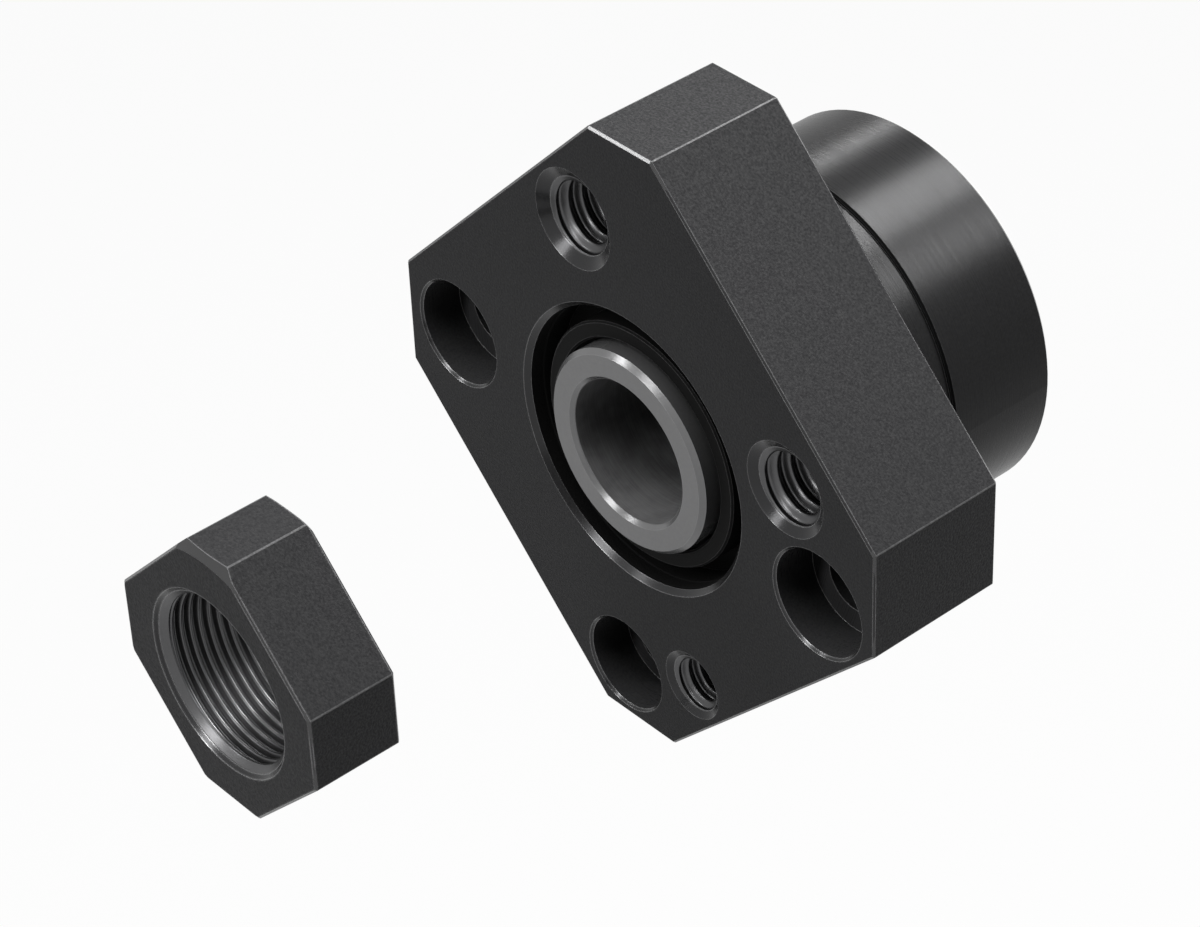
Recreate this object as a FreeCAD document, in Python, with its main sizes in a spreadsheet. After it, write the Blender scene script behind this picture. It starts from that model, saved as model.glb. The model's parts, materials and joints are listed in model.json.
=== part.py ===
import FreeCAD, Part
import os

import Sketcher

# Ball screw end support, millimetres.
# The screw's axis is Y and the mounting face is the plane y = 0, with its normal along +Y.
# The pilot points to +Y, the flange and its front face to -Y, and +Z is up.

SIZES = {
    # flange outline: four long sides at 45 degrees, cut corners at the top, the sides and the bottom
    "flange_across": 54.0,
    "flange_thickness": 15.5,
    "corner_top_cut": 4.2,
    "corner_side_cut": 5.8,
    "corner_bottom_cut": 4.9,
    "flange_edge_round": 0.25,
    "flange_face_chamfer": 0.2,
    # pilot behind the mounting face
    "pilot_diameter": 40.0,
    "pilot_length": 20.4,
    "pilot_chamfer": 0.4,
    "neck_diameter": 39.1,
    "neck_length": 7.6,
    # front recess with the seal ring's seat behind it
    "recess_diameter": 29.4,
    "recess_depth": 2.0,
    "recess_chamfer": 0.55,
    "seat_diameter": 29.2,
    # the pair of angular contact ball bearings
    "bearing_bore": 15.0,
    "bearing_outer": 32.0,
    "bearing_width": 9.0,
    "bearing_chamfer": 0.3,
    "ball_diameter": 4.76,
    "ball_count": 12,
    "groove_conformity": 1.04,
    "land_high": 1.45,
    "land_low": 1.8,
    "collar_over_land": 0.35,
    "cage_thickness": 1.4,
    "cage_width": 6.8,
    "pocket_clearance": 0.08,
    "spacer_width": 6.0,
    # collars on both sides of the inner rings
    "collar_diameter": 21.3,
    "collar_proud": 0.6,
    "collar_edge_chamfer": 0.5,
    "collar_bore_chamfer": 0.45,
    # front seal ring and both soft lips
    "seal_gap": 0.4,
    "seal_lip_clearance": 0.08,
    "seal_ring_flange": 3.2,
    "seal_ring_setback": 1.15,
    "seal_boss_wall": 0.75,
    "seal_boss_chamfer": 0.2,
    "lip_groove_depth": 1.0,
    "lip_width": 1.6,
    "lip_setback": 0.9,
    # rear lid, screwed into the end of the pilot
    "lid_thread_diameter": 34.0,
    "lid_thickness": 3.8,
    "lid_setback": 0.3,
    "lid_pin_diameter": 2.6,
    "lid_pin_depth": 2.0,
    "lid_pin_count": 4,
    # screw holes with counterbores
    "screw_hole_diameter": 6.6,
    "counterbore_diameter": 11.1,
    "counterbore_small_diameter": 10.1,
    "counterbore_depth": 4.8,
    "counterbore_chamfer": 0.25,
    "left_hole_reach": 25.0,
    "left_hole_rise": 0.8,
    "right_hole_reach": 25.1,
    "right_hole_rise": 3.8,
    "bottom_hole_offset": 1.9,
    "bottom_hole_drop": 27.2,
    # tapped holes with countersinks
    "tapped_diameter": 8.0,
    "tapped_sink_diameter": 10.3,
    "tapped_sink_small_diameter": 9.8,
    "tapped_depth": 12.0,
    "tapped_lower_diameter": 6.0,
    "tapped_lower_sink_diameter": 7.4,
    "tapped_lower_depth": 10.0,
    "sink_angle": 110.0,
    "upper_tap_offset": 6.8,
    "upper_tap_rise": 22.8,
    "right_tap_reach": 21.0,
    "right_tap_rise": 7.0,
    "lower_tap_offset": 7.8,
    "lower_tap_drop": 24.0,
    # lock nut, apart in front of the flange
    "nut_across": 24.4,
    "nut_corner_top_cut": 2.85,
    "nut_corner_side_cut": 3.9,
    "nut_thickness": 9.4,
    "nut_thread_diameter": 18.0,
    "nut_bore_chamfer": 0.4,
    "nut_edge_round": 0.25,
    "nut_face_chamfer": 0.2,
    "nut_front_bevel_radius": 13.6,
    "nut_rear_bevel_radius": 14.1,
    "nut_bevel_depth": 1.0,
    "nut_bevel_width": 2.0,
    "nut_distance": 54.5,
    # its set screw and the soft plug under it
    "set_screw_diameter": 3.0,
    "set_screw_length": 2.6,
    "set_screw_setback": 0.3,
    "set_screw_socket": 1.5,
    "set_screw_socket_depth": 1.4,
    "plug_diameter": 2.4,
}

doc = FreeCAD.newDocument("ball_screw_end_support")
sheet = doc.addObject("Spreadsheet::Sheet", "Sizes")
for row, (alias, value) in enumerate(SIZES.items(), start=1):
    sheet.set(f"A{row}", alias)
    sheet.set(f"B{row}", repr(value))
    sheet.setAlias(f"B{row}", alias)
doc.recompute()

parts = {}


# Expressions and their present values

def bound(expression):
    """Names in the expression stand for cells of the sheet."""
    words = []
    word = ""
    for letter in expression + " ":
        if letter.isalnum() or letter == "_":
            word += letter
            continue
        words.append(f"Sizes.{word}" if word in SIZES else word)
        words.append(letter)
        word = ""
    return "".join(words).strip()


def value_of(owner, expression):
    result = owner.evalExpression(bound(expression))
    return float(getattr(result, "Value", result))


def bind(owner, place, expression):
    owner.setExpression(place, bound(expression))


# Places along the axis that several pieces share, written once

FRONT = "(0 - flange_thickness)"
LID_BACK = "(pilot_length - lid_setback)"
STACK_BACK = f"({LID_BACK} - lid_thickness)"
REAR_BEARING = f"({STACK_BACK} - bearing_width)"
SPACER_PLACE = f"({REAR_BEARING} - spacer_width)"
FRONT_BEARING = f"({SPACER_PLACE} - bearing_width)"
COLLAR_FRONT = f"({FRONT} - collar_proud)"
COLLAR_BACK = "(pilot_length + collar_proud)"
SEAL_FRONT = f"({FRONT} + seal_ring_setback)"

# Radii that several pieces share

BORE = "(bearing_bore / 2)"
OUTER = "(bearing_outer / 2)"
PITCH = "((bearing_bore + bearing_outer) / 4)"
GROOVE = "(ball_diameter / 2 * groove_conformity)"
COLLAR = "(collar_diameter / 2)"
INNER_LAND = f"({COLLAR} - collar_over_land)"
OUTER_LAND = f"({PITCH} + land_high)"
CAGE_MIDDLE = f"(({INNER_LAND} + {OUTER_LAND}) / 2)"
SEAT = "(seat_diameter / 2)"
SEAL_BORE = "(collar_diameter / 2 + seal_gap)"
LIP_OUTER = f"({SEAL_BORE} + lip_groove_depth)"
LIP_BORE = "(collar_diameter / 2 + seal_lip_clearance)"


# Building blocks

def new_body(name):
    body = doc.addObject("PartDesign::Body", name)
    body.Label = name
    body.Placement = FreeCAD.Placement()
    parts[name] = body
    return body


def plane_of(body, role):
    return next(item for item in body.Origin.OriginFeatures if item.Role == role)


def new_sketch(body, name, role):
    sketch = body.newObject("Sketcher::SketchObject", name)
    sketch.AttachmentSupport = [(plane_of(body, role), "")]
    sketch.MapMode = "FlatFace"
    return sketch


def pin_vertex(sketch, line, across, along):
    """The line's start point gets its two coordinates from the sheet."""
    for kind, expression in (("DistanceX", across), ("DistanceY", along)):
        value = value_of(sketch, expression)
        index = sketch.addConstraint(Sketcher.Constraint(kind, -1, 1, line, 1, value))
        bind(sketch, f"Constraints[{index}]", expression)


def outline(sketch, corners):
    """A closed polygon through the corners, each given as two expressions."""
    points = []
    for across, along in corners:
        points.append(FreeCAD.Vector(value_of(sketch, across), value_of(sketch, along), 0))
    lines = []
    for start, end in zip(points, points[1:] + points[:1]):
        lines.append(sketch.addGeometry(Part.LineSegment(start, end), False))
    for line, following in zip(lines, lines[1:] + lines[:1]):
        sketch.addConstraint(Sketcher.Constraint("Coincident", line, 2, following, 1))
    for line, (across, along) in zip(lines, corners):
        pin_vertex(sketch, line, across, along)


def circle(sketch, across, along, diameter):
    centre = FreeCAD.Vector(value_of(sketch, across), value_of(sketch, along), 0)
    normal = FreeCAD.Vector(0, 0, 1)
    radius = value_of(sketch, diameter) / 2
    index = sketch.addGeometry(Part.Circle(centre, normal, radius), False)
    for kind, expression in (("DistanceX", across), ("DistanceY", along)):
        value = value_of(sketch, expression)
        place = sketch.addConstraint(Sketcher.Constraint(kind, -1, 1, index, 3, value))
        bind(sketch, f"Constraints[{place}]", expression)
    place = sketch.addConstraint(Sketcher.Constraint("Diameter", index, 2 * radius))
    bind(sketch, f"Constraints[{place}]", diameter)


def turn(body, name, corners, cut=False):
    """Turns a profile of (radius, place along Y) about the Y axis, added or cut away."""
    sketch = new_sketch(body, f"{name}_profile", "XY_Plane")
    outline(sketch, corners)
    kind = "PartDesign::Groove" if cut else "PartDesign::Revolution"
    feature = body.newObject(kind, name)
    feature.Profile = sketch
    feature.ReferenceAxis = (sketch, ["V_Axis"])
    feature.Angle = 360
    doc.recompute()
    return feature


def turned_body(name, corners):
    body = new_body(name)
    turn(body, f"{name}_turned", corners)
    return body


def ring_corners(inner, outer, back, front):
    """Profile of a plain ring between two places along the axis."""
    return [(inner, back), (outer, back), (outer, front), (inner, front)]


def groove_cut(body, name, radius, place, diameter):
    """Cuts a ring-shaped groove of round section, such as a ball race."""
    sketch = new_sketch(body, f"{name}_profile", "XY_Plane")
    circle(sketch, radius, place, diameter)
    feature = body.newObject("PartDesign::Groove", name)
    feature.Profile = sketch
    feature.ReferenceAxis = (sketch, ["V_Axis"])
    feature.Angle = 360
    doc.recompute()


def octagon(sketch, across, top_cut, side_cut, bottom_cut):
    """Four long sides at 45 degrees and four cut corners, from the top left corner on."""
    reach = f"({across} / sqrt(2))"
    top = f"({reach} - {top_cut})"
    side = f"({reach} - {side_cut})"
    bottom = f"({reach} - {bottom_cut})"
    outline(sketch, [
        (f"{top} - {reach}", top),
        (f"{reach} - {top}", top),
        (side, f"{reach} - {side}"),
        (side, f"{side} - {reach}"),
        (f"{reach} - {bottom}", f"0 - {bottom}"),
        (f"{bottom} - {reach}", f"0 - {bottom}"),
        (f"0 - {side}", f"{side} - {reach}"),
        (f"0 - {side}", f"{reach} - {side}"),
    ])


def edges_where(feature, test):
    return [f"Edge{i}" for i, edge in enumerate(feature.Shape.Edges, start=1) if test(edge)]


def runs_along_axis(edge):
    start, end = (vertex.Point for vertex in edge.Vertexes)
    return (end - start).normalize().isEqual(FreeCAD.Vector(0, 1, 0), 1e-6) or \
        (start - end).normalize().isEqual(FreeCAD.Vector(0, 1, 0), 1e-6)


def lies_across(edge):
    return edge.BoundBox.YLength < 1e-6


def round_edges(body, name, base, edges, radius):
    feature = body.newObject("PartDesign::Fillet", name)
    feature.Base = (base, edges)
    feature.Radius = value_of(body, radius)
    bind(feature, "Radius", radius)
    doc.recompute()
    return feature


def break_edges(body, name, base, edges, size):
    feature = body.newObject("PartDesign::Chamfer", name)
    feature.Base = (base, edges)
    feature.Size = value_of(body, size)
    bind(feature, "Size", size)
    doc.recompute()
    return feature


def front_sketch(body, name):
    """A sketch on the flange's front face: across is +X, along is +Z, normal is -Y."""
    sketch = new_sketch(body, name, "XZ_Plane")
    bind(sketch, ".AttachmentOffset.Base.z", "flange_thickness")
    doc.recompute()
    return sketch


def drill(body, name, centres, diameter, depth=None):
    """Plain round holes from the front face, through or to a depth with a drill point."""
    sketch = front_sketch(body, f"{name}_centres")
    for across, along in centres:
        circle(sketch, across, along, diameter)
    doc.recompute()
    hole = body.newObject("PartDesign::Hole", name)
    hole.Profile = sketch
    hole.Diameter = value_of(body, diameter)
    doc.recompute()
    bind(hole, "Diameter", diameter)
    if depth is None:
        hole.DepthType = "ThroughAll"
    else:
        hole.DepthType = "Dimension"
        hole.DrillPoint = "Angled"
        bind(hole, "Depth", depth)
    return hole


def counterbore(hole, diameter, depth):
    hole.HoleCutType = "Counterbore"
    hole.HoleCutCustomValues = True
    bind(hole, "HoleCutDiameter", diameter)
    bind(hole, "HoleCutDepth", depth)
    doc.recompute()


def countersink(hole, diameter, angle):
    hole.HoleCutType = "Countersink"
    hole.HoleCutCustomValues = True
    bind(hole, "HoleCutDiameter", diameter)
    bind(hole, "HoleCutCountersinkAngle", angle)
    doc.recompute()


# Housing: flange, neck and pilot in one piece

def is_counterbore_mouth(edge):
    """The full circles on the front face that are smaller than the recess."""
    front = edge.BoundBox.YMax + SIZES["flange_thickness"] < 1e-6
    full_circle = isinstance(edge.Curve, Part.Circle) and edge.isClosed()
    return front and full_circle and edge.Curve.Radius < SIZES["recess_diameter"] / 4


def build_housing():
    body = new_body("housing")
    sketch = new_sketch(body, "flange_outline", "XZ_Plane")
    octagon(sketch, "flange_across", "corner_top_cut", "corner_side_cut", "corner_bottom_cut")
    pad = body.newObject("PartDesign::Pad", "flange")
    pad.Profile = sketch
    bind(pad, "Length", "flange_thickness")
    doc.recompute()
    rounded = round_edges(body, "flange_corners", pad, edges_where(pad, runs_along_axis), "flange_edge_round")
    break_edges(body, "flange_faces", rounded, edges_where(rounded, lies_across), "flange_face_chamfer")

    turn(body, "pilot", [
        ("0", "0 - flange_thickness / 2"),
        ("neck_diameter / 2", "0 - flange_thickness / 2"),
        ("neck_diameter / 2", "neck_length"),
        ("pilot_diameter / 2 - pilot_chamfer / 2", "neck_length"),
        ("pilot_diameter / 2", "neck_length + pilot_chamfer / 2"),
        ("pilot_diameter / 2", "pilot_length - pilot_chamfer"),
        ("pilot_diameter / 2 - pilot_chamfer", "pilot_length"),
        ("0", "pilot_length"),
    ])

    # stepped bore: recess, seal seat, shoulder, bearing bore, lid thread
    edge = "(recess_diameter / 2 + recess_chamfer)"
    step = "((recess_diameter - seat_diameter) / 2)"
    turn(body, "stepped_bore", [
        ("0", f"{FRONT} - 1"),
        (edge, f"{FRONT} - 1"),
        (edge, FRONT),
        ("recess_diameter / 2", f"{FRONT} + recess_chamfer"),
        ("recess_diameter / 2", f"{FRONT} + recess_depth"),
        (SEAT, f"{FRONT} + recess_depth + {step}"),
        (SEAT, FRONT_BEARING),
        (OUTER, FRONT_BEARING),
        (OUTER, STACK_BACK),
        ("lid_thread_diameter / 2", STACK_BACK),
        ("lid_thread_diameter / 2", "pilot_length + 1"),
        ("0", "pilot_length + 1"),
    ], cut=True)

    upper_pair = [
        ("0 - left_hole_reach", "left_hole_rise"),
        ("right_hole_reach", "0 - right_hole_rise"),
    ]
    lower = [("0 - bottom_hole_offset", "0 - bottom_hole_drop")]
    for name, centres, bore in (
        ("side_screw_holes", upper_pair, "counterbore_diameter"),
        ("bottom_screw_hole", lower, "counterbore_small_diameter"),
    ):
        counterbore(drill(body, name, centres, "screw_hole_diameter"), bore, "counterbore_depth")

    bored = body.Tip
    mouths = edges_where(bored, is_counterbore_mouth)
    break_edges(body, "counterbore_edges", bored, mouths, "counterbore_chamfer")

    for name, centre, bore, sink, depth in (
        ("upper_tapped_hole", ("0 - upper_tap_offset", "upper_tap_rise"),
         "tapped_diameter", "tapped_sink_diameter", "tapped_depth"),
        ("right_tapped_hole", ("right_tap_reach", "right_tap_rise"),
         "tapped_diameter", "tapped_sink_small_diameter", "tapped_depth"),
        ("lower_tapped_hole", ("lower_tap_offset", "0 - lower_tap_drop"),
         "tapped_lower_diameter", "tapped_lower_sink_diameter", "tapped_lower_depth"),
    ):
        countersink(drill(body, name, [centre], bore, depth), sink, "sink_angle")


# Angular contact bearings, face to face: the outer rings' high lands lie at the pair's outer ends

def build_bearing(side, front, sign):
    """One bearing whose front face is at the given place; the inner ring's high land is on the side of sign."""
    back = f"({front} + bearing_width)"
    middle = f"({front} + bearing_width / 2)"
    low_end, high_end = (front, back) if sign > 0 else (back, front)
    way = "+" if sign > 0 else "-"
    opposite = "-" if sign > 0 else "+"
    inner_low = f"({PITCH} - land_low)"
    outer_low = f"({PITCH} + land_low)"

    inner = turned_body(f"{side}_bearing_inner_ring", [
        (BORE, low_end),
        (f"{inner_low} - bearing_chamfer", low_end),
        (inner_low, f"{low_end} {way} bearing_chamfer"),
        (inner_low, middle),
        (INNER_LAND, middle),
        (INNER_LAND, f"{high_end} {opposite} bearing_chamfer"),
        (f"{INNER_LAND} - bearing_chamfer", high_end),
        (BORE, high_end),
    ])
    groove_cut(inner, f"{side}_inner_race", PITCH, middle, f"2 * {GROOVE}")

    outer = turned_body(f"{side}_bearing_outer_ring", [
        (f"{OUTER} - bearing_chamfer", low_end),
        (OUTER, f"{low_end} {way} bearing_chamfer"),
        (OUTER, f"{high_end} {opposite} bearing_chamfer"),
        (f"{OUTER} - bearing_chamfer", high_end),
        (f"{outer_low} + bearing_chamfer", high_end),
        (outer_low, f"{high_end} {opposite} bearing_chamfer"),
        (outer_low, middle),
        (OUTER_LAND, middle),
        (OUTER_LAND, f"{low_end} {way} bearing_chamfer"),
        (f"{OUTER_LAND} + bearing_chamfer", low_end),
    ])
    groove_cut(outer, f"{side}_outer_race", PITCH, middle, f"2 * {GROOVE}")

    build_cage(side, middle)
    build_balls(side, middle)


def build_cage(side, middle):
    cage = turned_body(f"{side}_bearing_cage", ring_corners(
        f"({CAGE_MIDDLE} - cage_thickness / 2)",
        f"({CAGE_MIDDLE} + cage_thickness / 2)",
        f"{middle} - cage_width / 2",
        f"{middle} + cage_width / 2",
    ))
    sketch = new_sketch(cage, f"{side}_pocket_outline", "XY_Plane")
    circle(sketch, "0", middle, "ball_diameter + 2 * pocket_clearance")
    pocket = cage.newObject("PartDesign::Pocket", f"{side}_pocket")
    pocket.Profile = sketch
    bind(pocket, "Length", f"{CAGE_MIDDLE} + cage_thickness")
    pocket.Reversed = True
    doc.recompute()
    pattern = cage.newObject("PartDesign::PolarPattern", f"{side}_pockets")
    pattern.Originals = [pocket]
    pattern.Axis = (plane_of(cage, "Y_Axis"), [""])
    pattern.Angle = 360
    bind(pattern, "Occurrences", "ball_count")
    cage.Tip = pattern
    doc.recompute()


def build_balls(side, middle):
    balls = []
    for number in range(int(SIZES["ball_count"])):
        ball = doc.addObject("Part::Sphere", f"{side}_ball_{number + 1}")
        angle = f"{number} * 360 / ball_count"
        bind(ball, "Radius", "ball_diameter / 2")
        bind(ball, ".Placement.Base.x", f"{PITCH} * sin({angle})")
        bind(ball, ".Placement.Base.y", middle)
        bind(ball, ".Placement.Base.z", f"{PITCH} * cos({angle})")
        balls.append(ball)
    group = doc.addObject("Part::Compound", f"{side}_bearing_balls")
    group.Label = f"{side}_bearing_balls"
    group.Links = balls
    parts[group.Label] = group


def build_spacers():
    back = f"{SPACER_PLACE} + spacer_width"
    turned_body("inner_spacer", ring_corners(BORE, f"({PITCH} - land_low)", SPACER_PLACE, back))
    turned_body("outer_spacer", ring_corners(f"({PITCH} + land_low)", OUTER, SPACER_PLACE, back))


# Collars: the outer end of each has its edges broken

def build_collars():
    for name, inner_end, outer_end, way in (
        ("front_collar", FRONT_BEARING, COLLAR_FRONT, "+"),
        ("rear_collar", STACK_BACK, COLLAR_BACK, "-"),
    ):
        turned_body(name, [
            (BORE, inner_end),
            (COLLAR, inner_end),
            (COLLAR, f"{outer_end} {way} collar_edge_chamfer"),
            (f"{COLLAR} - collar_edge_chamfer", outer_end),
            (f"{BORE} + collar_bore_chamfer", outer_end),
            (BORE, f"{outer_end} {way} collar_bore_chamfer"),
        ])


# Seals: each soft lip sits in a groove of the ring that carries it

def build_seals():
    boss = f"({LIP_OUTER} + seal_boss_wall)"
    lip_front = f"({SEAL_FRONT} + lip_setback)"
    lip_back = f"({lip_front} + lip_width)"
    ledge = f"({FRONT_BEARING} - seal_ring_flange)"
    turned_body("front_seal_ring", [
        (SEAL_BORE, FRONT_BEARING),
        (SEAT, FRONT_BEARING),
        (SEAT, ledge),
        (boss, ledge),
        (boss, f"{SEAL_FRONT} + seal_boss_chamfer"),
        (f"{boss} - seal_boss_chamfer", SEAL_FRONT),
        (f"{SEAL_BORE} + seal_boss_chamfer", SEAL_FRONT),
        (SEAL_BORE, f"{SEAL_FRONT} + seal_boss_chamfer"),
        (SEAL_BORE, lip_front),
        (LIP_OUTER, lip_front),
        (LIP_OUTER, lip_back),
        (SEAL_BORE, lip_back),
    ])
    build_lip("front_seal_lip", lip_front, lip_back)

    lid = "(lid_thread_diameter / 2)"
    lid_lip_back = f"({LID_BACK} - lip_setback)"
    lid_lip_front = f"({lid_lip_back} - lip_width)"
    body = turned_body("rear_lid", [
        (SEAL_BORE, STACK_BACK),
        (lid, STACK_BACK),
        (lid, f"{LID_BACK} - seal_boss_chamfer"),
        (f"{lid} - seal_boss_chamfer", LID_BACK),
        (SEAL_BORE, LID_BACK),
        (SEAL_BORE, lid_lip_back),
        (LIP_OUTER, lid_lip_back),
        (LIP_OUTER, lid_lip_front),
        (SEAL_BORE, lid_lip_front),
    ])
    build_pin_holes(body)
    build_lip("rear_seal_lip", lid_lip_front, lid_lip_back)


def build_lip(name, front, back):
    """A soft ring with a bevelled lip that reaches the collar at its middle."""
    turned_body(name, [
        (LIP_OUTER, front),
        (LIP_OUTER, back),
        (SEAL_BORE, back),
        (LIP_BORE, f"({front} + {back}) / 2"),
        (SEAL_BORE, front),
    ])


def build_pin_holes(body):
    """Blind holes in the lid's rear face for the pin spanner that tightens it."""
    sketch = new_sketch(body, "spanner_hole_outline", "XZ_Plane")
    bind(sketch, ".AttachmentOffset.Base.z", f"0 - {LID_BACK}")
    circle(sketch, "0", f"({LIP_OUTER} + lid_thread_diameter / 2) / 2", "lid_pin_diameter")
    pocket = body.newObject("PartDesign::Pocket", "spanner_hole")
    pocket.Profile = sketch
    pocket.Reversed = True
    bind(pocket, "Length", "lid_pin_depth")
    doc.recompute()
    pattern = body.newObject("PartDesign::PolarPattern", "spanner_holes")
    pattern.Originals = [pocket]
    pattern.Axis = (plane_of(body, "Y_Axis"), [""])
    pattern.Angle = 360
    bind(pattern, "Occurrences", "lid_pin_count")
    body.Tip = pattern
    doc.recompute()


# Lock nut: cut corners like the flange, turned bevels at both ends, fine thread

NUT_BACK = "(0 - nut_distance)"
NUT_FRONT = "(0 - nut_distance - nut_thickness)"
NUT_MIDDLE = "(0 - nut_distance - nut_thickness / 2)"
NUT_SIDE = "(nut_across / sqrt(2) - nut_corner_side_cut)"
SCREW_OUTER = f"({NUT_SIDE} - set_screw_setback)"
SCREW_INNER = f"({SCREW_OUTER} - set_screw_length)"


def build_nut():
    body = new_body("lock_nut")
    sketch = new_sketch(body, "nut_outline", "XZ_Plane")
    bind(sketch, ".AttachmentOffset.Base.z", "nut_distance")
    octagon(sketch, "nut_across", "nut_corner_top_cut", "nut_corner_side_cut", "nut_corner_side_cut")
    pad = body.newObject("PartDesign::Pad", "nut_block")
    pad.Profile = sketch
    bind(pad, "Length", "nut_thickness")
    doc.recompute()
    rounded = round_edges(body, "nut_corners", pad, edges_where(pad, runs_along_axis), "nut_edge_round")
    break_edges(body, "nut_faces", rounded, edges_where(rounded, lies_across), "nut_face_chamfer")

    for end, face, way in (("front", NUT_FRONT, "+"), ("rear", NUT_BACK, "-")):
        radius = f"nut_{end}_bevel_radius"
        turn(body, f"nut_{end}_bevel", [
            (radius, face),
            (f"{radius} + nut_bevel_width", face),
            (f"{radius} + nut_bevel_width", f"{face} {way} nut_bevel_depth"),
        ], cut=True)

    thread = "(nut_thread_diameter / 2)"
    turn(body, "nut_bore", [
        ("0", NUT_FRONT),
        (f"{thread} + nut_bore_chamfer", NUT_FRONT),
        (thread, f"{NUT_FRONT} + nut_bore_chamfer"),
        (thread, f"{NUT_BACK} - nut_bore_chamfer"),
        (f"{thread} + nut_bore_chamfer", NUT_BACK),
        ("0", NUT_BACK),
    ], cut=True)

    for name, diameter, outer in (
        ("set_screw_hole", "set_screw_diameter", NUT_SIDE),
        ("plug_hole", "plug_diameter", SCREW_INNER),
    ):
        hole_outline = new_sketch(body, f"{name}_outline", "XY_Plane")
        bind(hole_outline, ".AttachmentOffset.Base.z", f"0 - {outer}")
        circle(hole_outline, "0", NUT_MIDDLE, diameter)
        pocket = body.newObject("PartDesign::Pocket", name)
        pocket.Profile = hole_outline
        pocket.Reversed = True
        inner = SCREW_INNER if name == "set_screw_hole" else "nut_thread_diameter / 4"
        bind(pocket, "Length", f"{outer} - {inner}")
        doc.recompute()


def build_set_screw():
    body = new_body("lock_nut_set_screw")
    sketch = new_sketch(body, "set_screw_outline", "XY_Plane")
    bind(sketch, ".AttachmentOffset.Base.z", f"0 - {SCREW_OUTER}")
    circle(sketch, "0", NUT_MIDDLE, "set_screw_diameter")
    pad = body.newObject("PartDesign::Pad", "set_screw_shank")
    pad.Profile = sketch
    bind(pad, "Length", "set_screw_length")
    doc.recompute()
    socket = new_sketch(body, "socket_outline", "XY_Plane")
    bind(socket, ".AttachmentOffset.Base.z", f"0 - {SCREW_OUTER}")
    hexagon(socket, NUT_MIDDLE, "set_screw_socket")
    pocket = body.newObject("PartDesign::Pocket", "set_screw_socket_cut")
    pocket.Profile = socket
    pocket.Reversed = True
    bind(pocket, "Length", "set_screw_socket_depth")
    doc.recompute()


def hexagon(sketch, place, across):
    """A hexagon across its flats, centred on the axis of the sketch at the given place."""
    reach = f"{across} / sqrt(3)"
    outline(sketch, [
        (reach, place),
        (f"{reach} / 2", f"{place} + {across} / 2"),
        (f"0 - {reach} / 2", f"{place} + {across} / 2"),
        (f"0 - {reach}", place),
        (f"0 - {reach} / 2", f"{place} - {across} / 2"),
        (f"{reach} / 2", f"{place} - {across} / 2"),
    ])


def build_plug():
    """The soft plug fills the hole from the set screw down to the thread."""
    plug = doc.addObject("Part::Cylinder", "lock_nut_soft_plug")
    plug.Label = "lock_nut_soft_plug"
    bind(plug, "Radius", "plug_diameter / 2")
    bind(plug, "Height", f"{SCREW_INNER} - nut_thread_diameter / 2")
    bind(plug, ".Placement.Base.y", NUT_MIDDLE)
    bind(plug, ".Placement.Base.z", f"0 - {SCREW_INNER}")
    parts[plug.Label] = plug


build_housing()
build_bearing("front", FRONT_BEARING, 1)
build_bearing("rear", REAR_BEARING, -1)
build_spacers()
build_collars()
build_seals()
build_nut()
build_set_screw()
build_plug()
doc.recompute()

for item in doc.Objects:
    if "Invalid" in item.State or "Error" in item.State:
        raise RuntimeError(f"{item.Label} failed: {item.getStatusString()}")
for name, item in parts.items():
    if item.Shape.isNull() or not item.Shape.isValid():
        raise RuntimeError(f"{name} has no valid shape")

os.makedirs("parts", exist_ok=True)
for name, item in parts.items():
    item.Shape.exportStep(f"parts/{name}.step")
    print(name, len(item.Shape.Solids), round(item.Shape.Volume, 1))
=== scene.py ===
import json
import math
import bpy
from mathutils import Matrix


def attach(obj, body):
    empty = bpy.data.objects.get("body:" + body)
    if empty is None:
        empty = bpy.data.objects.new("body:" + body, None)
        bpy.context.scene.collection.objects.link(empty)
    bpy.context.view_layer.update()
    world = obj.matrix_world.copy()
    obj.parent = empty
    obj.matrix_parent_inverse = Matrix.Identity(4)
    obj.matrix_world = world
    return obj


bl_info = {
    "name": "Ball screw end support",
    "version": (1, 0, 0),
    "blender": (4, 5, 0),
    "location": "3D View > Sidebar > End support",
    "description": "Finishes, threads and studio for a flange support of a ball screw",
    "category": "Object",
}

import bpy
from bpy.props import FloatProperty, FloatVectorProperty, IntProperty, PointerProperty
from mathutils import Matrix, Vector

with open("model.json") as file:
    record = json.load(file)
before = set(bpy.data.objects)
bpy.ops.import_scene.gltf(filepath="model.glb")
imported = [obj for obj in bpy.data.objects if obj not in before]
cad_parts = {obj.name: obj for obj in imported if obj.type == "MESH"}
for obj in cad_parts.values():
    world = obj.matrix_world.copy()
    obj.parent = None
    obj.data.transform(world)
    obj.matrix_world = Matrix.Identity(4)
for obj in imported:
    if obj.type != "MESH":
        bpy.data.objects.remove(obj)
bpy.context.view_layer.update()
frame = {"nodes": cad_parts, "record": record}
MOUNTS = {mount["name"]: mount for mount in frame["record"]["mounts"]}
MILLIMETRE = 0.001
SCREW_HOLES = ("left_screw_hole", "right_screw_hole", "bottom_screw_hole")

# Places on the axis Y and distances from it, in metres, where one finish ends and the next begins;
# the recess's walls and radius bound its painted shade
HOLE_WALLS = (-0.01535, -0.0002)
RECESS_WALLS = (-0.01496, 0.0)
RECESS_RADIUS = 0.01475
PILOT_START = 0.0001
BORE_RADIUS = 0.00755
FLANGE_CORNERS = 0.0325
NUT_CORNERS = 0.0134

# How far in from a sharp edge the black is worn and lighter, partly as a painted edge highlight, in
# metres
FLANGE_EDGE = 0.00013
NUT_EDGE = 0.00026
RING_EDGE = 0.0001

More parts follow.
